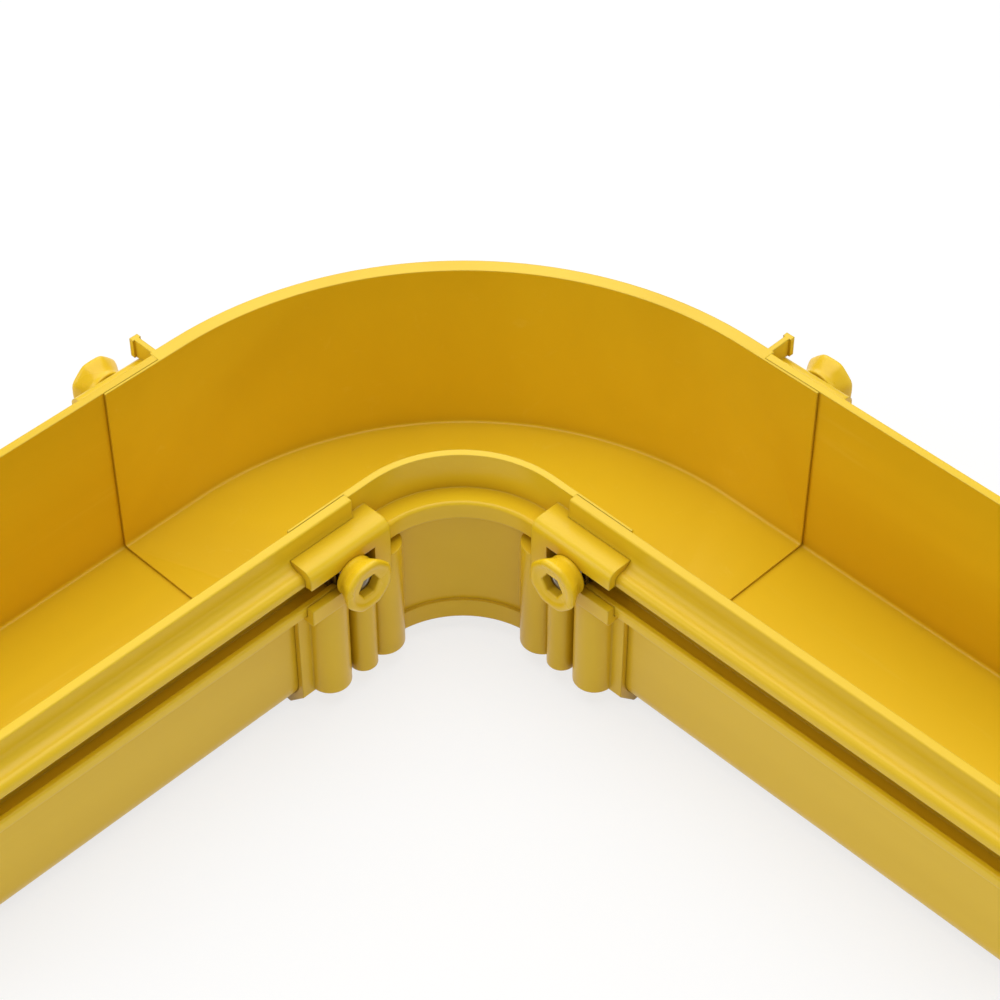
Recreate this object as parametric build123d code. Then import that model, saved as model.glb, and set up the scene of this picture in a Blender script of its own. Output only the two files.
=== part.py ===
from build123d import *
import math
import os

# Horizontal elbow for a fibre raceway, with the two straight lengths it joins
# All lengths are millimetres, the underside of the elbow lies on Z = 0
# The origin is below the middle of the bend, leg one runs along -X and leg two along -Y

# Channel
channel_width = 120.0
channel_depth = 95.5
duct_wall = 4.5
lower_corner_radius = 9.0
underside_chamfer = 9.0
bend_radius = 115.0
rim_radius = 0.8

# Slotted rail along the outside of each straight length, depths measured from the rim
rail_out = 14.0
rail_top = 13.0
rail_root_radius = 6.0
rail_nose_radius = 3.3
rail_bottom = 37.5
rail_foot_radius = 1.5
mouth_top = 18.5
mouth_bottom = 31.5
mouth_edge_radius = 1.2
lip_thickness = 3.0
slot_top = 16.0
slot_bottom = 34.0

# Straight lengths, distances measured from the end of the bend
duct_start = 14.0
duct_end = 270.0

# Elbow
skin_thickness = 1.2
skin_clearance = 0.25
jacket_thickness = 3.0
jacket_clearance = 0.2
skin_end = 45.0
jacket_end = 50.0
ridge_out = 12.0
ridge_nose_radius = 1.8
skirt_depth = 93.0
bead_height = 10.0
bead_out = 1.5
cover_out = 18.0
cover_top = 9.5
cover_nose_radius = 5.0
cover_bottom = 40.5
cover_foot_radius = 1.5
cover_start = 5.0

# Rim and ridge round the bend, on its outer and on its inner side
outer_rim_out = 5.7
outer_ridge_top = 15.0
outer_ridge_bottom = 26.0
inner_rim_out = 2.1
inner_ridge_top = 19.0
inner_ridge_bottom = 28.0

# Flutes of the coupling: distance from the end of the bend and radius
flute_out = 17.0
flute_table = [(34.0, 9.5), (17.0, 6.5), (2.0, 10.0)]
flute_top = 31.5

# Latch fin on the outer side, for a cover
fin_place = 11.8
fin_out = 19.6
fin_thickness = 2.5
fin_height = 10.0
fin_bar_length = 4.5

# Clamping screws
screw_place = 27.0
screw_depth = 25.0
shank_radius = 4.0
thread_clearance = 0.05
screw_start = 5.0
head_flats = 10.0
head_height = 5.0
head_clearance = 0.1
head_front = 24.0
knob_back = 18.0
knob_front = 29.0
knob_back_radius = 9.5
knob_neck = 3.0
knob_front_radius = 12.8
knob_side_count = 24
outer_knob_gap = 4.0
nut_plate_height = 17.0
nut_plate_length = 15.0
nut_plate_thickness = 3.8
nut_corner = 3.5
nut_neck_height = 12.4
nut_neck_length = 12.0
nut_neck_depth = 2.6

# Cuts run past the material by this much
overrun = 5.0
join_tolerance = 0.001

# Derived sizes
half_width = channel_width / 2
floor_level = duct_wall + jacket_thickness
rim_level = floor_level + channel_depth
skin_reach = skin_thickness + skin_clearance
elbow_wall_out = duct_wall + jacket_thickness
bend_offset = bend_radius / math.sqrt(2)
bend_centre = Pos(-bend_offset, -bend_offset, 0)
leg_swap = Plane(origin=(0, 0, 0), x_dir=(1, 1, 0), z_dir=(1, -1, 0))


def corner_arc(before, corner, after, radius):
    """Start, middle and stop of the arc that rounds one corner."""
    back = (before - corner).normalized()
    ahead = (after - corner).normalized()
    half_angle = math.radians(back.get_angle(ahead)) / 2
    reach = radius / math.tan(half_angle)
    middle_reach = radius / math.sin(half_angle) - radius
    middle = corner + (back + ahead).normalized() * middle_reach
    return corner + back * reach, middle, corner + ahead * reach


def rounded_face(corners):
    """Face inside a closed outline of (across, up, radius) corners."""
    points = [Vector(across, up) for across, up, radius in corners]
    count = len(points)
    pieces = []
    stops = []
    for index in range(count):
        radius = corners[index][2]
        if radius == 0:
            stops.append((points[index], points[index]))
            continue
        after = points[(index + 1) % count]
        start, middle, stop = corner_arc(points[index - 1], points[index], after, radius)
        pieces.append(ThreePointArc(start, middle, stop))
        stops.append((start, stop))
    for index in range(count):
        left = stops[index][1]
        right = stops[(index + 1) % count][0]
        if (right - left).length > join_tolerance:
            pieces.append(Line(left, right))
    return make_face(Wire.combine(pieces)[0].edges())


def half_outline(half):
    """Outline corners of one side from its (out, depth, radius) list, rim first."""
    return [(half_width + out, rim_level - depth, radius) for out, depth, radius in half]


def section(outer, inner=None):
    """Section across a leg, set at the end of the bend and facing down the leg."""
    left = half_outline(inner or outer)
    mirrored = [(-across, up, radius) for across, up, radius in reversed(left)]
    return Plane.XZ * (Pos(bend_radius, 0) * rounded_face(half_outline(outer) + mirrored))


def along_leg(outer, start, stop, inner=None):
    """Length of one section along leg two, seen from the bend centre."""
    return Pos(0, -start, 0) * extrude(section(outer, inner), stop - start)


def around_bend(outer, inner=None):
    """Quarter turn of one section about the bend centre."""
    return revolve(section(outer, inner), Axis.Z, 90)


def through_both(half, reach):
    """Section swept along both legs and round the bend."""
    leg = along_leg(half, 0, reach)
    return around_bend(half) + leg + mirror(leg, leg_swap)


def duct_outside():
    """Outside of a straight length, rim first, as out, depth and radius."""
    return [
        (duct_wall, 0, rim_radius),
        (duct_wall, rail_top, rail_root_radius),
        (rail_out, rail_top, rail_nose_radius),
        (rail_out, mouth_top, 0),
        (rail_out - lip_thickness, mouth_top, 0),
        (rail_out - lip_thickness, slot_top, 0),
        (duct_wall, slot_top, 0),
        (duct_wall, slot_bottom, 0),
        (rail_out - lip_thickness, slot_bottom, 0),
        (rail_out - lip_thickness, mouth_bottom, 0),
        (rail_out, mouth_bottom, mouth_edge_radius),
        (rail_out, rail_bottom, rail_foot_radius),
        (duct_wall, rail_bottom, rail_foot_radius),
        (duct_wall, channel_depth + duct_wall, lower_corner_radius + duct_wall),
    ]


def duct_pocket():
    """Room that the elbow leaves for a straight length, slot left solid."""
    grow = jacket_clearance
    return [
        (duct_wall + grow, -overrun, 0),
        (duct_wall + grow, rail_top - grow, rail_root_radius - grow),
        (rail_out + grow, rail_top - grow, rail_nose_radius + grow),
        (rail_out + grow, rail_bottom + grow, rail_foot_radius),
        (duct_wall + grow, rail_bottom + grow, rail_foot_radius),
        (duct_wall + grow, channel_depth + duct_wall, lower_corner_radius + duct_wall),
    ]


def channel(shrink, floor_rise):
    """Inside of the channel, open at the top."""
    return [
        (-shrink, -overrun, 0),
        (-shrink, channel_depth - floor_rise, lower_corner_radius - shrink),
    ]


def ridged_side(rim_out, ridge_top, ridge_bottom):
    """One side of the elbow round the bend: rim, ridge and skirt."""
    return [
        (rim_out, 0, 0),
        (rim_out, ridge_top, 0),
        (ridge_out, ridge_top, ridge_nose_radius),
        (ridge_out, ridge_bottom, 0),
        (elbow_wall_out, ridge_bottom, 0),
        (elbow_wall_out, skirt_depth, 0),
    ]


def chamfered_foot(top):
    """Side of the lower shell that carries the floor of the elbow."""
    return [
        (elbow_wall_out, top, 0),
        (elbow_wall_out, rim_level - underside_chamfer, 0),
        (elbow_wall_out - underside_chamfer, rim_level, 0),
    ]


def bead_band():
    """Band that stands proud along the lower edge of the skirt."""
    return [
        (elbow_wall_out + bead_out, skirt_depth - bead_height, 0),
        (elbow_wall_out + bead_out, skirt_depth, 0),
    ]


def cover_outside():
    """Jacket of the coupling, over the rail of a straight length."""
    return [
        (duct_wall, cover_top, 0),
        (cover_out, cover_top, cover_nose_radius),
        (cover_out, cover_bottom, cover_foot_radius),
    ] + chamfered_foot(cover_bottom)


def skirt_outside():
    """Square skirt between the flutes."""
    return [
        (elbow_wall_out, cover_bottom, 0),
        (elbow_wall_out, skirt_depth, 0),
    ]


def outer_side():
    """Outer side of the bend."""
    return ridged_side(outer_rim_out, outer_ridge_top, outer_ridge_bottom)


def inner_side():
    """Inner side of the bend."""
    return ridged_side(inner_rim_out, inner_ridge_top, inner_ridge_bottom)


def side_boxes(out_low, out_high, depth_low, depth_high, start, stop):
    """A pair of boxes, one on each side of leg two."""
    size = (out_high - out_low, stop - start, depth_high - depth_low)
    box = Box(*size, align=(Align.MIN, Align.MAX, Align.MAX))
    right = Pos(bend_radius + half_width + out_low, -start, rim_level - depth_low) * box
    return right + mirror(right, Plane.YZ.offset(bend_radius))


def flutes():
    """Half-round flutes on both sides of the coupling."""
    result = []
    for place, radius in flute_table:
        column = Cylinder(
            radius,
            skirt_depth - flute_top,
            align=(Align.CENTER, Align.CENTER, Align.MIN),
        )
        out = half_width + flute_out - radius
        for side in (-1, 1):
            spot = Pos(bend_radius + side * out, -place, rim_level - skirt_depth)
            result.append(spot * column)
    return result


def latch_fin():
    """Fin with a cross bar on the outer side of the bend."""
    edge = bend_radius + half_width
    web_size = (fin_out - outer_rim_out + rim_radius, fin_thickness, fin_height)
    web = Box(*web_size, align=(Align.MAX, Align.CENTER, Align.MAX))
    bar_size = (fin_thickness, fin_bar_length, fin_height)
    bar = Box(*bar_size, align=(Align.MAX, Align.CENTER, Align.MAX))
    return Pos(edge + fin_out, -fin_place, rim_level) * (web + bar)


def coupling():
    """Jacket, flutes, skirt and fin of the coupling on leg two."""
    jacket = along_leg(cover_outside(), cover_start, jacket_end)
    skirt = along_leg(skirt_outside(), 0, flute_table[0][0])
    solid = jacket + skirt + along_leg(chamfered_foot(cover_bottom), 0, cover_start)
    for column in flutes():
        solid = solid + column
    solid = solid + along_leg(outer_side(), 0, duct_start, inner_side())
    skin_half = [(0, 0, 0), (0, channel_depth, lower_corner_radius)]
    solid = solid + along_leg(skin_half, 0, skin_end)
    return solid + latch_fin()


def coupling_cuts():
    """Room for the straight length and its slot mouth on leg two."""
    pocket = along_leg(duct_pocket(), duct_start, jacket_end + overrun)
    keep = [
        (-skin_clearance, 0, 0),
        (-skin_clearance, channel_depth - skin_clearance, lower_corner_radius),
    ]
    pocket = pocket - along_leg(keep, duct_start - overrun, skin_end)
    mouth = side_boxes(
        duct_wall,
        cover_out + overrun,
        mouth_top,
        mouth_bottom,
        duct_start,
        jacket_end + overrun,
    )
    return pocket + mouth


def elbow_body():
    """The moulded elbow with a coupling at each end."""
    solid = around_bend(outer_side(), inner_side())
    solid = solid + around_bend(chamfered_foot(cover_bottom))
    solid = solid + around_bend(bead_band())
    leg = coupling()
    solid = solid + leg + mirror(leg, leg_swap)
    cuts = coupling_cuts()
    solid = solid - cuts - mirror(cuts, leg_swap)
    solid = solid - through_both(channel(skin_reach, skin_reach), jacket_end + overrun)
    return bend_centre * solid


def straight_duct():
    """Straight length on leg two."""
    outside = along_leg(duct_outside(), duct_start, duct_end)
    room = along_leg(channel(0, 0), duct_start - overrun, duct_end + overrun)
    return bend_centre * (outside - room)


def screw_frame(side):
    """Frame on a screw axis of leg two, its Z pointing away from the channel."""
    origin = (bend_radius + side * half_width, -screw_place, rim_level - screw_depth)
    return Plane(origin=origin, x_dir=(0, 1, 0), z_dir=(side, 0, 0))


def on_screw(side, shape):
    """Shape of one screw axis, set in place; an outer knob isn't done up all the way."""
    gap = outer_knob_gap if side > 0 else 0
    return bend_centre * (screw_frame(side).location * (Pos(0, 0, gap) * shape))


def knob(side):
    """Many-sided tapered hand knob with a hexagonal well in its face."""
    outline = RegularPolygon(knob_back_radius, knob_side_count, major_radius=False)
    flank_height = knob_front - knob_back - knob_neck
    lean = math.degrees(math.atan((knob_front_radius - knob_back_radius) / flank_height))
    neck = extrude(outline, knob_neck)
    flank = extrude(outline, flank_height, taper=-lean)
    body = Pos(0, 0, knob_back) * neck + Pos(0, 0, knob_back + knob_neck) * flank
    well = head_flats / math.sqrt(3) + head_clearance
    hexagon = RegularPolygon(well, 6)
    head_back = head_front - head_height
    body = body - Pos(0, 0, head_back) * extrude(hexagon, knob_front - head_back + overrun)
    body = body - Pos(0, 0, knob_back - overrun) * Cylinder(
        shank_radius + head_clearance,
        knob_front - knob_back,
        align=(Align.CENTER, Align.CENTER, Align.MIN),
    )
    return on_screw(side, body)


def screw(side):
    """Hexagon-headed screw held in the knob."""
    shank = Pos(0, 0, screw_start) * Cylinder(
        shank_radius,
        head_front - screw_start,
        align=(Align.CENTER, Align.CENTER, Align.MIN),
    )
    hexagon = RegularPolygon(head_flats / math.sqrt(3), 6)
    head = Pos(0, 0, head_front - head_height) * extrude(hexagon, head_height)
    return on_screw(side, shank + head)


def slot_nut(side):
    """Nut plate with a neck that stands in the slot mouth."""
    plate_front = rail_out - lip_thickness
    half_length = nut_plate_length / 2
    half_height = nut_plate_height / 2
    outline = [
        (half_length - nut_corner, half_height, 0),
        (-half_length, half_height, 0),
        (-half_length, nut_corner - half_height, 0),
        (nut_corner - half_length, -half_height, 0),
        (half_length, -half_height, 0),
        (half_length, half_height - nut_corner, 0),
    ]
    back = plate_front - nut_plate_thickness
    plate = Pos(0, 0, back) * extrude(rounded_face(outline), nut_plate_thickness)
    neck = Pos(0, 0, plate_front) * Box(
        nut_neck_length,
        nut_neck_height,
        nut_neck_depth,
        align=(Align.CENTER, Align.CENTER, Align.MIN),
    )
    bore = Cylinder(
        shank_radius + thread_clearance,
        rail_out + overrun,
        align=(Align.CENTER, Align.CENTER, Align.MIN),
    )
    return bend_centre * (screw_frame(side).location * (plate + neck - bore))


def across_bend(shape):
    """The same shape on leg one."""
    return mirror(shape, leg_swap)


def save(shape, name):
    """One STEP file for each separate piece."""
    export_step(shape, "parts/" + name + ".step")


os.makedirs("parts", exist_ok=True)
save(elbow_body(), "elbow_body")
right_duct = straight_duct()
save(right_duct, "right_straight_duct")
save(across_bend(right_duct), "left_straight_duct")
for place_name, side_sign in (("inner", -1), ("outer", 1)):
    for piece_name, maker in (("knob", knob), ("screw", screw), ("slot_nut", slot_nut)):
        right_piece = maker(side_sign)
        save(right_piece, "right_" + place_name + "_" + piece_name)
        save(across_bend(right_piece), "left_" + place_name + "_" + piece_name)
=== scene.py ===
import math

import bpy
from mathutils import Matrix, Vector


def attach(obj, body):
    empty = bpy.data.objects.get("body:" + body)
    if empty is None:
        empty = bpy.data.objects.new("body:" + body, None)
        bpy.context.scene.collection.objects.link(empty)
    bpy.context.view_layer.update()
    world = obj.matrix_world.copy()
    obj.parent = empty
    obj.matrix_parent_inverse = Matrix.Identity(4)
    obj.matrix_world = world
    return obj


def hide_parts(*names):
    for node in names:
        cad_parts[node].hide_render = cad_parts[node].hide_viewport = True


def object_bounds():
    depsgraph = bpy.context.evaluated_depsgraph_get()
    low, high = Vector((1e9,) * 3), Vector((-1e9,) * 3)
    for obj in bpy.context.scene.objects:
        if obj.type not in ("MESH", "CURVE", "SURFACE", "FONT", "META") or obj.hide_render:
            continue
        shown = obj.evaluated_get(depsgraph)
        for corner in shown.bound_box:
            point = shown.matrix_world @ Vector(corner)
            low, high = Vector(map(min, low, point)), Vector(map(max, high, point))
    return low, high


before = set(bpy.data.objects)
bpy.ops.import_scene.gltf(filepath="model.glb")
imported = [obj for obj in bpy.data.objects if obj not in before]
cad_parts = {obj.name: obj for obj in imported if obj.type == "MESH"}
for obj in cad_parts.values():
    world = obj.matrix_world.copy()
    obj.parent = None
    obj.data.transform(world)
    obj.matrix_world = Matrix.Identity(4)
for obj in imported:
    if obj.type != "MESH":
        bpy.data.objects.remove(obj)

cad_low, cad_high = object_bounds()

MM = 0.001
SIDES = (("inner", -1), ("outer", 1))
LEGS = ("right", "left")

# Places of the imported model

BEND_RADIUS = 115 * MM
BEND_CENTRE = -BEND_RADIUS / math.sqrt(2)
LEG_OFFSET = BEND_CENTRE + BEND_RADIUS
RIM_HEIGHT = cad_high[2]
HALF_CHANNEL = 60 * MM
SCREW_PLACE = 27 * MM
SCREW_DROP = 25 * MM
OUTER_KNOB_GAP = 4 * MM


def screw_matrix(leg, side, gap=0.0):
    """Frame on one clamping screw, its Z pointing away from the channel."""
    across = LEG_OFFSET + side * (HALF_CHANNEL + gap)
    along = BEND_CENTRE - SCREW_PLACE
    up = RIM_HEIGHT - SCREW_DROP
    if leg == "right":
        place = Vector((across, along, up))
        out = Vector((side, 0, 0))
    else:
        place = Vector((along, across, up))
        out = Vector((0, side, 0))
    rise = Vector((0, 0, 1))
    third = out.cross(rise)
    turn = Matrix((rise, third, out)).transposed()
    return Matrix.Translation(place) @ turn.to_4x4()


# Materials

EDGE_WIDTH = 0.9 * MM
# reach of the occlusion that finds inner corners for painted shade and open edges for wear
OCCLUSION_REACH = 9 * MM
GRAIN_DEPTH = 0.02 * MM
# reach of the occlusion that paints shade on the steel
RECESS_SHADE_REACH = 8 * MM


def new_group(name, inputs, outputs):
    """Shader node group with its sockets, its tree and its two end nodes."""
    group = bpy.data.node_groups.new(name, "ShaderNodeTree")
    for socket_name, kind, value in inputs:
        socket = group.interface.new_socket(socket_name, in_out="INPUT", socket_type=kind)
        socket.default_value = value
    for socket_name, kind in outputs:
        group.interface.new_socket(socket_name, in_out="OUTPUT", socket_type=kind)
    source = group.nodes.new("NodeGroupInput")
    result = group.nodes.new("NodeGroupOutput")
    return group, source, result


def add_node(tree, kind, links=None, **settings):
    """New node with settings, and links from other sockets to its inputs."""
    node = tree.nodes.new(kind)
    for key, value in settings.items():
        setattr(node, key, value)
    for key, value in (links or {}).items():
        if isinstance(value, bpy.types.NodeSocket):
            tree.links.new(value, node.inputs[key])
        else:
            node.inputs[key].default_value = value
    return node


def math_node(tree, operation, first, second, clamp=False):
    """Result of one sum on two values or sockets."""
    node = add_node(tree, "ShaderNodeMath", {0: first, 1: second}, operation=operation, use_clamp=clamp)
    return node.outputs[0]


def mix_colour(tree, share, first, second):
    """Colour between two others, by a share from 0 to 1."""
    node = tree.nodes.new("ShaderNodeMix")
    node.data_type = "RGBA"
    for socket, value in ((node.inputs[0], share), (node.inputs[6], first), (node.inputs[7], second)):
        if isinstance(value, bpy.types.NodeSocket):
            tree.links.new(value, socket)
        else:
            socket.default_value = value
    return node.outputs[2]


def range_node(tree, value, low, high, to_low, to_high):
    """Value carried from one range onto another, held at both ends."""
    node = add_node(
        tree,
        "ShaderNodeMapRange",
        {"Value": value, "From Min": low, "From Max": high, "To Min": to_low, "To Max": to_high},
    )
    return node.outputs[0]


def group_node(tree, group, links):
    """One placed copy of a shared group."""
    return add_node(tree, "ShaderNodeGroup", links, node_tree=group)


def wear_and_painted_shade_group():
    """Masks of worn outer edges and of painted shade in the inner corners, and a normal that rounds the
    edges.
    """
    group, source, result = new_group(
        "wear_and_painted_shade",
        [("Width", "NodeSocketFloat", EDGE_WIDTH), ("Vector", "NodeSocketVector", (0, 0, 0))],
        [("Mask", "NodeSocketFloat"), ("Crease Shade", "NodeSocketFloat"), ("Normal", "NodeSocketVector")],
    )
    bevel = add_node(group, "ShaderNodeBevel", {"Radius": source.outputs["Width"]}, samples=6)
    geometry = add_node(group, "ShaderNodeNewGeometry")
    dot = add_node(
        group,
        "ShaderNodeVectorMath",
        {0: bevel.outputs[0], 1: geometry.outputs["Normal"]},
        operation="DOT_PRODUCT",
    )
    edge = range_node(group, dot.outputs["Value"], 0.995, 0.80, 0.0, 1.0)
    patches = add_node(
        group, "ShaderNodeTexNoise", {"Vector": source.outputs["Vector"], "Scale": 60.0, "Detail": 4.0}
    )
    uneven = range_node(group, patches.outputs["Fac"], 0.35, 0.65, 0.35, 1.0)
    shade = add_node(group, "ShaderNodeAmbientOcclusion", {"Distance": OCCLUSION_REACH}, samples=6)
    open_share = range_node(group, shade.outputs["AO"], 0.45, 0.85, 0.0, 1.0)
    # painted shade: inner corners that the occlusion finds are marked for darkening
    crease_shade = range_node(group, shade.outputs["AO"], 0.88, 0.30, 0.0, 1.0)
    mask = math_node(group, "MULTIPLY", edge, uneven, clamp=True)
    mask = math_node(group, "MULTIPLY", mask, open_share, clamp=True)
    group.links.new(crease_shade, result.inputs["Crease Shade"])
    group.links.new(mask, result.inputs["Mask"])
    group.links.new(bevel.outputs[0], result.inputs["Normal"])
    return group


def moulded_grain_group():
    """Height and tone of moulded plastic: fine grain, slow flow clouds and small scuffs."""
    group, source, result = new_group(
        "moulded_grain",
        [
            ("Vector", "NodeSocketVector", (0, 0, 0)),
            ("Grain Scale", "NodeSocketFloat", 1400.0),
            ("Cloud Scale", "NodeSocketFloat", 9.0),
            ("Scuff Scale", "NodeSocketFloat", 55.0),
        ],
        [("Height", "NodeSocketFloat"), ("Clouds", "NodeSocketFloat"), ("Scuffs", "NodeSocketFloat")],
    )
    vector = source.outputs["Vector"]
    grain = add_node(
        group,
        "ShaderNodeTexNoise",
        {"Vector": vector, "Scale": source.outputs["Grain Scale"], "Detail": 3.0, "Roughness": 0.6},
    )
    clouds = add_node(
        group,
        "ShaderNodeTexNoise",
        {"Vector": vector, "Scale": source.outputs["Cloud Scale"], "Detail": 3.0, "Distortion": 0.6},
    )
    scratches = add_node(
        group,
        "ShaderNodeTexNoise",
        {
            "Vector": vector,
            "Scale": source.outputs["Scuff Scale"],
            "Detail": 6.0,
            "Roughness": 0.7,
            "Distortion": 1.4,
        },
    )
    scuffs = range_node(group, scratches.outputs["Fac"], 0.60, 0.72, 0.0, 1.0)
    height = math_node(group, "MULTIPLY", scuffs, -0.35)
    height = math_node(group, "ADD", height, grain.outputs["Fac"])
    group.links.new(height, result.inputs["Height"])
    group.links.new(clouds.outputs["Fac"], result.inputs["Clouds"])
    group.links.new(scuffs, result.inputs["Scuffs"])
    return group


wear_and_painted_shade = wear_and_painted_shade_group()
moulded_grain = moulded_grain_group()


def object_vector(tree, scale):
    """Object coordinates, stretched along one axis where the scale asks for it."""
    place = add_node(tree, "ShaderNodeTexCoord")
    mapping = add_node(tree, "ShaderNodeMapping", {"Vector": place.outputs["Object"], "Scale": scale})
    return mapping.outputs[0]


def plastic(name, tone, deep_tone, rough_level, cloud_scale, stretch=(1, 1, 1)):
    """Yellow plastic with grain, tone clouds, scuffs, paler edges and painted shade darkening the inner
    corners.
    """
    material = bpy.data.materials.new(name)
    material.use_nodes = True
    tree = material.node_tree
    shader = tree.nodes["Principled BSDF"]
    vector = object_vector(tree, stretch)
    grain = group_node(tree, moulded_grain, {"Vector": vector, "Cloud Scale": cloud_scale})
    edges = group_node(tree, wear_and_painted_shade, {"Vector": vector})
    cloud_share = range_node(tree, grain.outputs["Clouds"], 0.35, 0.68, 0.0, 1.0)
    colour = mix_colour(tree, cloud_share, tone, deep_tone)
    scuff_share = math_node(tree, "MULTIPLY", grain.outputs["Scuffs"], 0.16)
    colour = mix_colour(tree, scuff_share, colour, WORN_YELLOW)
    edge_share = math_node(tree, "MULTIPLY", edges.outputs["Mask"], 0.5)
    colour = mix_colour(tree, edge_share, colour, WORN_YELLOW)
    # painted shade: inner corners mixed halfway towards a dark brown-yellow
    crease_shade_share = math_node(tree, "MULTIPLY", edges.outputs["Crease Shade"], 0.5)
    colour = mix_colour(tree, crease_shade_share, colour, CREASE_SHADE_YELLOW)
    tree.links.new(colour, shader.inputs["Base Color"])
    rough = range_node(tree, grain.outputs["Clouds"], 0.3, 0.7, rough_level - 0.04, rough_level + 0.05)
    rough_scuffed = math_node(tree, "MULTIPLY", grain.outputs["Scuffs"], 0.14)
    rough = math_node(tree, "ADD", rough, rough_scuffed, clamp=True)
    tree.links.new(rough, shader.inputs["Roughness"])
    bump = add_node(
        tree,
        "ShaderNodeBump",
        {
            "Height": grain.outputs["Height"],
            "Strength": 0.35,
            "Distance": GRAIN_DEPTH,
            "Normal": edges.outputs["Normal"],
        },
    )
    tree.links.new(bump.outputs[0], shader.inputs["Normal"])
    shader.inputs["Specular IOR Level"].default_value = 0.36
    return material


YELLOW = (0.825, 0.55, 0.013, 1)
DEEP_YELLOW = (0.765, 0.495, 0.009, 1)
WORN_YELLOW = (0.93, 0.71, 0.10, 1)
# dark brown-yellow painted into inner corners as shade
CREASE_SHADE_YELLOW = (0.42, 0.23, 0.008, 1)
KNOB_YELLOW = (0.87, 0.58, 0.015, 1)
KNOB_DEEP = (0.81, 0.525, 0.011, 1)
DRAW_STRETCH = 0.06  # grain and clouds run long in the direction of extrusion

elbow_plastic = plastic("moulded_elbow_plastic", YELLOW, DEEP_YELLOW, 0.31, 9.0)
right_duct_plastic = plastic(
    "extruded_plastic_right", YELLOW, DEEP_YELLOW, 0.33, 14.0, stretch=(1, DRAW_STRETCH, 1)
)
left_duct_plastic = plastic(
    "extruded_plastic_left", YELLOW, DEEP_YELLOW, 0.33, 14.0, stretch=(DRAW_STRETCH, 1, 1)
)
knob_plastic = plastic("knob_plastic", KNOB_YELLOW, KNOB_DEEP, 0.28, 40.0)

BRIGHT_STEEL = (0.70, 0.70, 0.69, 1)
DULL_STEEL = (0.52, 0.52, 0.50, 1)
SCUFFED_STEEL = (0.40, 0.39, 0.37, 1)
# near-black painted into the screw's well and thread as shade
RECESS_SHADE = (0.13, 0.10, 0.05, 1)


def zinc_plated_steel():
    """Steel with fine brushing and painted shade darkening it in the well and thread."""
    material = bpy.data.materials.new("bright_steel")
    material.use_nodes = True
    tree = material.node_tree
    shader = tree.nodes["Principled BSDF"]
    vector = object_vector(tree, (1, 1, 1))
    grain = group_node(
        tree,
        moulded_grain,
        {"Vector": vector, "Grain Scale": 2600.0, "Cloud Scale": 90.0, "Scuff Scale": 300.0},
    )
    colour = mix_colour(tree, grain.outputs["Clouds"], BRIGHT_STEEL, DULL_STEEL)
    colour = mix_colour(tree, grain.outputs["Scuffs"], colour, SCUFFED_STEEL)
    # painted shade: the steel is darkened where the occlusion finds the well and thread
    shelter = add_node(tree, "ShaderNodeAmbientOcclusion", {"Distance": RECESS_SHADE_REACH})
    recess_shade_share = range_node(tree, shelter.outputs["AO"], 0.35, 0.95, 0.9, 0.0)
    colour = mix_colour(tree, recess_shade_share, colour, RECESS_SHADE)
    tree.links.new(colour, shader.inputs["Base Color"])
    rough = range_node(tree, grain.outputs["Clouds"], 0.3, 0.7, 0.22, 0.38)
    tree.links.new(rough, shader.inputs["Roughness"])
    bump = add_node(
        tree,
        "ShaderNodeBump",
        {"Height": grain.outputs["Height"], "Strength": 0.3, "Distance": GRAIN_DEPTH},
    )
    tree.links.new(bump.outputs[0], shader.inputs["Normal"])
    shader.inputs["Metallic"].default_value = 1.0
    return material


steel = zinc_plated_steel()


# Knobs, screws and slot nuts, each built on one screw axis and then set in place

# Rings and the tooth are (radius, height) in millimetres, counted outwards from the channel's inside
KNOB_RINGS = (
    (8.8, 18.0), (9.3, 18.2), (9.5, 18.7), (9.5, 19.6), (9.5, 20.5), (9.75, 21.3), (10.35, 22.5),
    (11.15, 23.8), (11.95, 25.2), (12.5, 26.4), (12.8, 27.5), (12.7, 28.2), (12.35, 28.7),
    (11.7, 29.0), (10.4, 29.0), (9.5, 28.85), (8.9, 28.5), (8.2, 28.35),
)
WELL_RINGS = ((5.87, 19.0), (5.87, 27.6), (6.5, 28.4), (7.4, 30.0))
KNOB_BORE_RINGS = ((4.1, 17.0), (4.1, 20.0))
KNOB_EDGE = 0.22 * MM
KNOB_LOBES = 8
LOBE_DEPTH = 0.45 * MM
LOBE_SPREAD = 4.2 * MM
LOBE_LOW = 25 * MM
LOBE_HIGH = 28.5 * MM
LOBE_INNER_RADIUS = 11.5 * MM

HEAD_RINGS = ((5.7735, 19.0), (5.7735, 24.0))
HEAD_TURNED_RINGS = ((5.2, 18.9), (6.1, 19.35), (6.1, 23.4), (5.0, 24.0), (3.4, 24.0), (3.1, 23.75))
THREAD_TOOTH = ((3.45, 0.0), (3.95, 0.45), (4.0, 0.6), (3.95, 0.75), (3.45, 1.25))
HEAD_EDGE = 0.12 * MM
THREAD_START = 5 * MM
THREAD_PITCH = 1.25 * MM
THREAD_TURNS = 11
THREAD_STEPS = 36

NUT_WIDTH = 17 * MM
NUT_LENGTH = 15 * MM
NUT_THICKNESS = 3.8 * MM
NUT_START = 7.2 * MM
NUT_CORNER_CUT = 3.5 * MM
NECK_WIDTH = 12.4 * MM
NECK_LENGTH = 12 * MM
NECK_HEIGHT = 3.6 * MM
NECK_MIDDLE = 11.8 * MM
NUT_EDGE = 0.35 * MM
NECK_EDGE = 0.4 * MM
NUT_BORE_RINGS = ((4.7, 5.0), (4.7, 7.2), (4.05, 7.85), (4.05, 12.9), (4.8, 13.65), (4.8, 15.0))


def start_piece(name):
    """Name the active object and give its mesh the same name."""
    piece = bpy.context.object
    piece.name = name
    piece.data.name = name
    return piece


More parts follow.
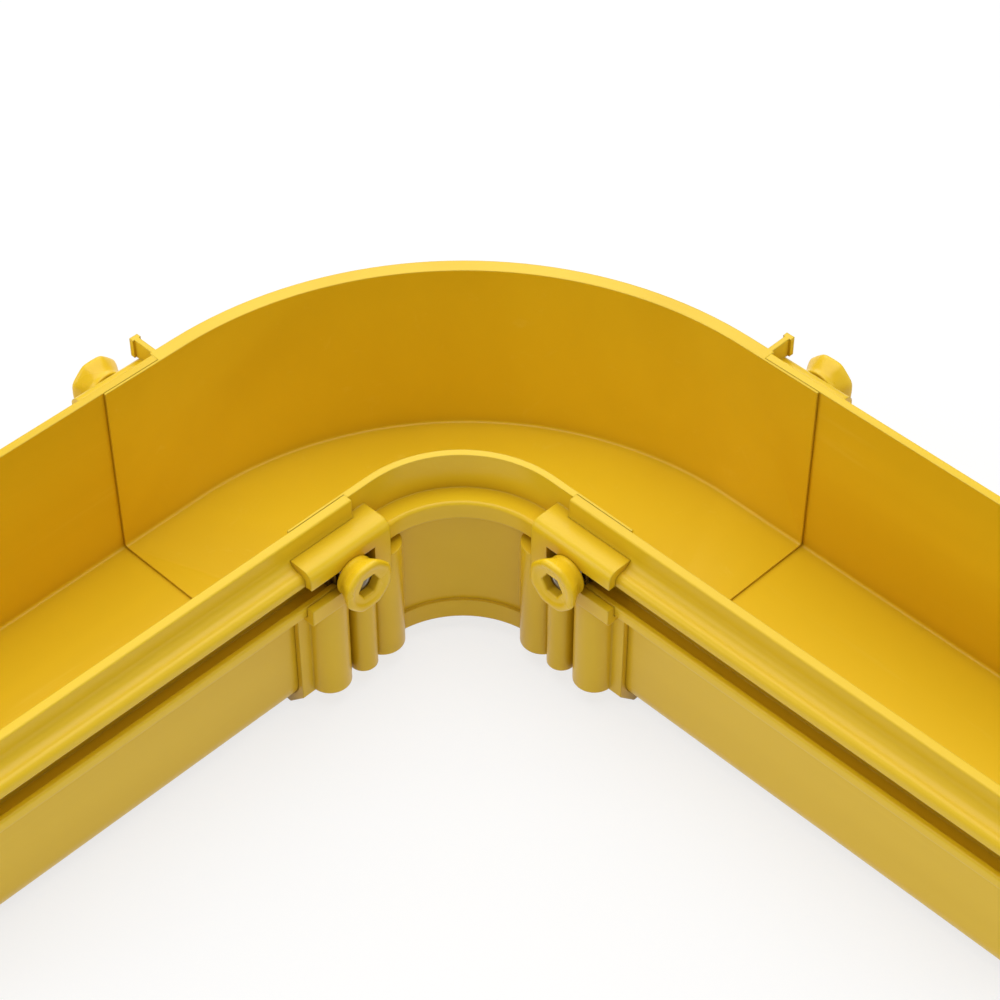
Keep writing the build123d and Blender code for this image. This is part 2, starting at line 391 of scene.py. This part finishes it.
def lathe(name, rings, sides):
    """Closed body with the given rings, lowest ring first; six sides make a hexagonal one."""
    bpy.ops.object.select_all(action="DESELECT")
    radius, height = rings[0]
    bpy.ops.mesh.primitive_circle_add(vertices=sides, radius=radius * MM, fill_type="NGON")
    piece = start_piece(name)
    bpy.ops.object.mode_set(mode="EDIT")
    bpy.ops.mesh.select_all(action="SELECT")
    bpy.ops.transform.translate(value=(0, 0, height * MM))
    for next_radius, next_height in rings[1:]:
        bpy.ops.mesh.extrude_region_move(
            TRANSFORM_OT_translate={"value": (0, 0, (next_height - height) * MM)}
        )
        grow = next_radius / radius
        bpy.ops.transform.resize(value=(grow, grow, 1))
        radius, height = next_radius, next_height
    bpy.ops.mesh.select_all(action="SELECT")
    bpy.ops.mesh.normals_make_consistent(inside=False)
    bpy.ops.object.mode_set(mode="OBJECT")
    return piece


def make_active(piece):
    """Select one piece alone and make it the active one."""
    bpy.ops.object.select_all(action="DESELECT")
    piece.select_set(True)
    bpy.context.view_layer.objects.active = piece


def cut(piece, cutter, operation="DIFFERENCE"):
    """Boolean of a helper body with a piece; the helper is removed afterwards."""
    make_active(piece)
    modifier = piece.modifiers.new("cut", "BOOLEAN")
    modifier.object = cutter
    modifier.operation = operation
    modifier.solver = "EXACT"
    bpy.ops.object.modifier_apply(modifier=modifier.name)
    helper_mesh = cutter.data
    bpy.data.objects.remove(cutter)
    bpy.data.meshes.remove(helper_mesh)


def soften(piece, width, angle=30, segments=2):
    """Round the sharp edges of a piece and smooth its curved faces."""
    make_active(piece)
    modifier = piece.modifiers.new("soft edges", "BEVEL")
    modifier.width = width
    modifier.segments = segments
    modifier.limit_method = "ANGLE"
    modifier.angle_limit = math.radians(angle)
    bpy.ops.object.modifier_apply(modifier=modifier.name)
    bpy.ops.object.shade_smooth_by_angle(angle=math.radians(angle))


def press_lobes(piece):
    """Shallow finger hollows round the wide end of a knob."""
    make_active(piece)
    mesh = piece.data
    for index in range(KNOB_LOBES):
        angle = 2 * math.pi * index / KNOB_LOBES
        middle = Vector((math.cos(angle), math.sin(angle)))
        bpy.ops.object.mode_set(mode="EDIT")
        bpy.ops.mesh.select_all(action="DESELECT")
        bpy.ops.object.mode_set(mode="OBJECT")
        for vertex in mesh.vertices:
            flat = Vector((vertex.co.x, vertex.co.y))
            in_band = LOBE_LOW < vertex.co.z < LOBE_HIGH and flat.length > LOBE_INNER_RADIUS
            vertex.select = in_band and flat.normalized().dot(middle) > 0.995
        bpy.ops.object.mode_set(mode="EDIT")
        bpy.ops.mesh.select_mode(type="VERT")
        bpy.ops.transform.translate(
            value=(-LOBE_DEPTH * middle.x, -LOBE_DEPTH * middle.y, 0),
            use_proportional_edit=True,
            proportional_edit_falloff="SMOOTH",
            proportional_size=LOBE_SPREAD,
        )
        bpy.ops.object.mode_set(mode="OBJECT")


def make_knob(name):
    """Flared hand knob with finger hollows, a dished face and a hexagonal well."""
    knob = lathe(name, KNOB_RINGS, 96)
    press_lobes(knob)
    cut(knob, lathe("well", WELL_RINGS, 6))
    cut(knob, lathe("bore", KNOB_BORE_RINGS, 48))
    soften(knob, KNOB_EDGE, 32)
    return knob


def make_thread(name):
    """Helical thread over a shank, closed at both ends."""
    bpy.ops.object.select_all(action="DESELECT")
    bpy.ops.mesh.primitive_circle_add(vertices=len(THREAD_TOOTH), radius=1 * MM, fill_type="NOTHING")
    piece = start_piece(name)
    bpy.ops.object.mode_set(mode="EDIT")
    bpy.ops.mesh.select_all(action="DESELECT")
    bpy.ops.object.mode_set(mode="OBJECT")
    for vertex, (radius, height) in zip(piece.data.vertices, THREAD_TOOTH):
        vertex.co = (radius * MM, 0, THREAD_START + height * MM)
    closing_edge = max(piece.data.edges, key=lambda edge: abs(edge.vertices[0] - edge.vertices[1]))
    closing_edge.select = True
    bpy.ops.object.mode_set(mode="EDIT")
    bpy.ops.mesh.select_mode(type="EDGE")
    bpy.ops.mesh.delete(type="EDGE")
    bpy.ops.object.mode_set(mode="OBJECT")
    make_active(piece)
    modifier = piece.modifiers.new("helix", "SCREW")
    modifier.screw_offset = THREAD_PITCH
    modifier.iterations = THREAD_TURNS
    modifier.steps = THREAD_STEPS
    modifier.render_steps = THREAD_STEPS
    modifier.use_merge_vertices = False
    bpy.ops.object.modifier_apply(modifier=modifier.name)
    bpy.ops.object.mode_set(mode="EDIT")
    bpy.ops.mesh.select_all(action="SELECT")
    bpy.ops.mesh.remove_doubles(threshold=0.01 * MM)
    bpy.ops.mesh.select_mode(type="EDGE")
    bpy.ops.mesh.select_all(action="DESELECT")
    bpy.ops.mesh.select_non_manifold()
    bpy.ops.mesh.fill_holes(sides=0)
    bpy.ops.mesh.select_all(action="SELECT")
    bpy.ops.mesh.normals_make_consistent(inside=False)
    bpy.ops.object.mode_set(mode="OBJECT")
    return piece


def make_screw(name):
    """Hexagon-headed screw with a chamfered head and a rolled thread."""
    screw = lathe(name, HEAD_RINGS, 6)
    cut(screw, lathe("head", HEAD_TURNED_RINGS, 72), "INTERSECT")
    soften(screw, HEAD_EDGE, 20, 1)
    thread = make_thread("thread")
    make_active(thread)
    bpy.ops.object.shade_smooth_by_angle(angle=math.radians(50))
    thread.select_set(True)
    screw.select_set(True)
    bpy.context.view_layer.objects.active = screw
    bpy.ops.object.join()
    return start_piece(name)


def make_nut(name):
    """Slot nut: a plate with two cut corners, a neck and a countersunk bore."""
    bpy.ops.object.select_all(action="DESELECT")
    bpy.ops.mesh.primitive_plane_add(size=1)
    nut = start_piece(name)
    bpy.ops.object.mode_set(mode="EDIT")
    bpy.ops.mesh.select_all(action="SELECT")
    bpy.ops.transform.resize(value=(NUT_WIDTH, NUT_LENGTH, 1))
    bpy.ops.transform.translate(value=(0, 0, NUT_START))
    bpy.ops.mesh.extrude_region_move(TRANSFORM_OT_translate={"value": (0, 0, NUT_THICKNESS)})
    bpy.ops.mesh.select_all(action="SELECT")
    bpy.ops.mesh.normals_make_consistent(inside=False)
    for side in (-1, 1):
        bpy.ops.mesh.select_all(action="SELECT")
        normal = Vector((side, side, 0)).normalized()
        point = (side * (NUT_WIDTH / 2 - NUT_CORNER_CUT), side * NUT_LENGTH / 2, 0)
        bpy.ops.mesh.bisect(plane_co=point, plane_no=normal, use_fill=True, clear_outer=True)
    bpy.ops.object.mode_set(mode="OBJECT")
    soften(nut, NUT_EDGE)
    bpy.ops.object.select_all(action="DESELECT")
    bpy.ops.mesh.primitive_cube_add(size=1)
    neck = start_piece("neck")
    bpy.ops.object.mode_set(mode="EDIT")
    bpy.ops.mesh.select_all(action="SELECT")
    bpy.ops.transform.resize(value=(NECK_WIDTH, NECK_LENGTH, NECK_HEIGHT))
    bpy.ops.transform.translate(value=(0, 0, NECK_MIDDLE))
    bpy.ops.object.mode_set(mode="OBJECT")
    soften(neck, NECK_EDGE)
    cut(nut, neck, "UNION")
    cut(nut, lathe("bore", NUT_BORE_RINGS, 48))
    make_active(nut)
    bpy.ops.object.shade_smooth_by_angle(angle=math.radians(30))
    return nut


def set_in_place(piece, leg, side, gap):
    """Turn a piece onto its own screw axis and leave the object itself at the origin."""
    make_active(piece)
    piece.matrix_world = screw_matrix(leg, side, gap)
    bpy.ops.object.transform_apply(location=True, rotation=True, scale=True)


def own_copy(piece, name):
    """Copy of a piece with a mesh of its own."""
    copy = piece.copy()
    copy.data = piece.data.copy()
    copy.name = name
    copy.data.name = name
    bpy.context.scene.collection.objects.link(copy)
    return copy


def fit_pieces(maker, kind, material):
    """One piece for each of the four screws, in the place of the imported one."""
    pattern = maker("pattern_" + kind)
    pattern.data.materials.clear()
    pattern.data.materials.append(material)
    for leg in LEGS:
        for word, side in SIDES:
            key = leg + "_" + word
            piece = own_copy(pattern, key + "_" + kind + "_detail")
            backed_off = OUTER_KNOB_GAP if side > 0 and kind != "slot_nut" else 0.0
            set_in_place(piece, leg, side, backed_off)
            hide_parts(key + "_" + kind)
            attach(piece, "fitting" if kind == "slot_nut" else key + "_clamp")
    mesh = pattern.data
    bpy.data.objects.remove(pattern)
    bpy.data.meshes.remove(mesh)


# Channel bodies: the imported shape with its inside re-cut to a crisper lower corner

CORNER_WIDTH = 1.4 * MM
OPEN_TOP = RIM_HEIGHT + 10 * MM  # the cutters end well above the rim

ELBOW_RUN = 60 * MM  # past the elbow's skin on both legs
ELBOW_HALF = HALF_CHANNEL - 1.3 * MM
ELBOW_FLOOR = 8.85 * MM

DUCT_RUN = 275 * MM
DUCT_HALF = HALF_CHANNEL + 0.05 * MM
DUCT_FLOOR = 7.45 * MM

SKIN_END = 45 * MM
SKIN_HALF = HALF_CHANNEL - 0.25 * MM
SKIN_UNDERSIDE = 7.75 * MM
SKIN_FILL_TOP = 18 * MM
SKIN_FILL_LENGTH = 33 * MM


def merged_node(node_name, name):
    """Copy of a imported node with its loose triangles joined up."""
    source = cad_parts[node_name]
    piece = own_copy(source, name)
    piece.parent = None
    piece.matrix_world = source.matrix_world.copy()
    piece.hide_render = False
    piece.hide_viewport = False
    make_active(piece)
    bpy.ops.object.transform_apply(location=True, rotation=True, scale=True)
    bpy.ops.mesh.customdata_custom_splitnormals_clear()
    bpy.ops.object.mode_set(mode="EDIT")
    bpy.ops.mesh.select_all(action="SELECT")
    bpy.ops.mesh.remove_doubles(threshold=0.002 * MM)
    bpy.ops.mesh.normals_make_consistent(inside=False)
    bpy.ops.object.mode_set(mode="OBJECT")
    return piece


def channel_profile(name, half, low, high, start):
    """Upright rectangle across the right leg with rounded lower corners, left in edit mode."""
    bpy.ops.object.select_all(action="DESELECT")
    bpy.ops.mesh.primitive_plane_add(size=1)
    piece = start_piece(name)
    bpy.ops.object.mode_set(mode="EDIT")
    bpy.ops.mesh.select_mode(type="VERT")
    bpy.ops.mesh.select_all(action="SELECT")
    middle = (low + high) / 2
    bpy.ops.transform.resize(value=(2 * half, high - low, 1))
    bpy.ops.transform.rotate(value=math.pi / 2, orient_axis="X", center_override=(0, 0, 0))
    bpy.ops.transform.translate(value=(LEG_OFFSET, start, middle))
    bpy.ops.mesh.select_all(action="DESELECT")
    bpy.ops.object.mode_set(mode="OBJECT")
    for vertex in piece.data.vertices:
        vertex.select = vertex.co.z < middle
    bpy.ops.object.mode_set(mode="EDIT")
    bpy.ops.mesh.bevel(offset=CORNER_WIDTH, segments=4, affect="VERTICES")
    bpy.ops.mesh.select_all(action="SELECT")
    return piece


def finish_cutter(piece, leg):
    """Carry the cutter onto its leg, turn its faces outwards and leave edit mode."""
    bpy.ops.mesh.select_all(action="SELECT")
    if leg == "left":
        bpy.ops.transform.mirror(constraint_axis=(True, False, False), center_override=(0, 0, 0))
        bpy.ops.transform.rotate(value=math.pi / 2, orient_axis="Z", center_override=(0, 0, 0))
    bpy.ops.mesh.normals_make_consistent(inside=False)
    bpy.ops.object.mode_set(mode="OBJECT")
    return piece


def bend_room():
    """Inside of the elbow: along the right leg, round the bend and along the left leg."""
    room = channel_profile("bend room", ELBOW_HALF, ELBOW_FLOOR, OPEN_TOP, BEND_CENTRE - ELBOW_RUN)
    bpy.ops.mesh.extrude_region_move(TRANSFORM_OT_translate={"value": (0, ELBOW_RUN, 0)})
    bpy.ops.mesh.spin(
        steps=64,
        angle=-math.pi / 2,
        center=(BEND_CENTRE, BEND_CENTRE, 0),
        axis=(0, 0, 1),
    )
    bpy.ops.mesh.extrude_region_move(TRANSFORM_OT_translate={"value": (-ELBOW_RUN, 0, 0)})
    return finish_cutter(room, "right")


def duct_room(leg):
    """Inside of one straight length."""
    room = channel_profile("duct room", DUCT_HALF, DUCT_FLOOR, OPEN_TOP, BEND_CENTRE)
    bpy.ops.mesh.extrude_region_move(TRANSFORM_OT_translate={"value": (0, -DUCT_RUN, 0)})
    return finish_cutter(room, leg)


def skin_corners(leg):
    """Block that fills the lower corners of the elbow's inner skin before its inside is cut."""
    start = BEND_CENTRE - SKIN_END
    fill = channel_profile("skin corners", SKIN_HALF, SKIN_UNDERSIDE, SKIN_FILL_TOP, start)
    bpy.ops.mesh.extrude_region_move(TRANSFORM_OT_translate={"value": (0, SKIN_FILL_LENGTH, 0)})
    return finish_cutter(fill, leg)


def fit_body(node_name, fills, room, material):
    """Dressed copy of one channel body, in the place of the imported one."""
    body = merged_node(node_name, node_name + "_dressed")
    for fill in fills:
        cut(body, fill, "UNION")
    cut(body, room)
    make_active(body)
    bpy.ops.object.shade_smooth_by_angle(angle=math.radians(28))
    body.data.materials.clear()
    body.data.materials.append(material)
    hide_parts(node_name)
    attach(body, "fitting")


skin_fills = [skin_corners(leg) for leg in LEGS]
fit_body("elbow_body", skin_fills, bend_room(), elbow_plastic)
fit_body("right_straight_duct", [], duct_room("right"), right_duct_plastic)
fit_body("left_straight_duct", [], duct_room("left"), left_duct_plastic)

fit_pieces(make_knob, "knob", knob_plastic)
fit_pieces(make_screw, "screw", steel)
fit_pieces(make_nut, "slot_nut", steel)


# Floor, light and camera

FLOOR_GAP = 0.3 * MM  # the floor lies this far below the underside, so that no two faces coincide
FLOOR_SIZE = 8
FLOOR_GLOW_SHARE = 0.75
WORLD_STRENGTH = 0.35

LIT_POINT = (-0.05, -0.05, 0.05)
LAMPS = (
    ("top", (0.05, 0.05, 1.9), 2.0, 28),
    ("back", (1.25, 1.25, 1.45), 1.3, 12),
    ("left side", (-1.15, 0.75, 0.75), 0.8, 4.7),
    ("right side", (0.75, -1.15, 0.75), 0.8, 1.8),
)

CAMERA_PLACE = (-0.6450, -0.6648, 0.9369)
CAMERA_AIM = (0.4953, 0.4923, -0.7158)
CAMERA_LENS = 101.69
CAMERA_SHIFT = 0.04


def floor_material():
    """Pale floor that shows white where nothing shades it and keeps a soft shadow."""
    material = bpy.data.materials.new("pale_floor")
    material.use_nodes = True
    tree = material.node_tree
    tree.nodes.remove(tree.nodes["Principled BSDF"])
    output = tree.nodes["Material Output"]
    diffuse = add_node(tree, "ShaderNodeBsdfDiffuse", {"Color": (0.92, 0.92, 0.92, 1)})
    glow = add_node(tree, "ShaderNodeEmission", {"Color": (1, 1, 1, 1), "Strength": 1.0})
    path = add_node(tree, "ShaderNodeLightPath")
    seen = math_node(tree, "MAXIMUM", path.outputs["Is Camera Ray"], path.outputs["Is Glossy Ray"])
    share = math_node(tree, "MULTIPLY", seen, FLOOR_GLOW_SHARE)
    mixed = add_node(tree, "ShaderNodeMixShader", {0: share, 1: diffuse.outputs[0], 2: glow.outputs[0]})
    tree.links.new(mixed.outputs[0], output.inputs["Surface"])
    return material


bpy.ops.object.select_all(action="DESELECT")
bpy.ops.mesh.primitive_plane_add(size=FLOOR_SIZE, location=(0, 0, -FLOOR_GAP))
floor = bpy.context.object
floor.name = "floor"
floor.data.materials.append(floor_material())

world = bpy.data.worlds.new("studio")
bpy.context.scene.world = world
world.use_nodes = True
background = world.node_tree.nodes["Background"]
background.inputs["Color"].default_value = (1, 1, 1, 1)
background.inputs["Strength"].default_value = WORLD_STRENGTH


def soft_lamp(name, place, size, power):
    """Square area lamp aimed at the object."""
    data = bpy.data.lights.new(name, "AREA")
    data.size = size
    data.energy = power
    lamp = bpy.data.objects.new(name, data)
    bpy.context.scene.collection.objects.link(lamp)
    lamp.location = place
    aim = Vector(LIT_POINT) - Vector(place)
    lamp.rotation_mode = "QUATERNION"
    lamp.rotation_quaternion = aim.to_track_quat("-Z", "Y")


for lamp_name, lamp_place, lamp_size, lamp_power in LAMPS:
    soft_lamp(lamp_name, lamp_place, lamp_size, lamp_power)

camera_data = bpy.data.cameras.new("camera")
camera_data.lens = CAMERA_LENS
camera_data.sensor_width = 36
camera_data.shift_y = CAMERA_SHIFT
camera_data.clip_start = 0.01
camera = bpy.data.objects.new("camera", camera_data)
bpy.context.scene.collection.objects.link(camera)
camera.location = CAMERA_PLACE
camera.rotation_mode = "QUATERNION"
camera.rotation_quaternion = Vector(CAMERA_AIM).to_track_quat("-Z", "Y")
bpy.context.scene.camera = camera
bpy.context.scene.view_settings.view_transform = "Standard"
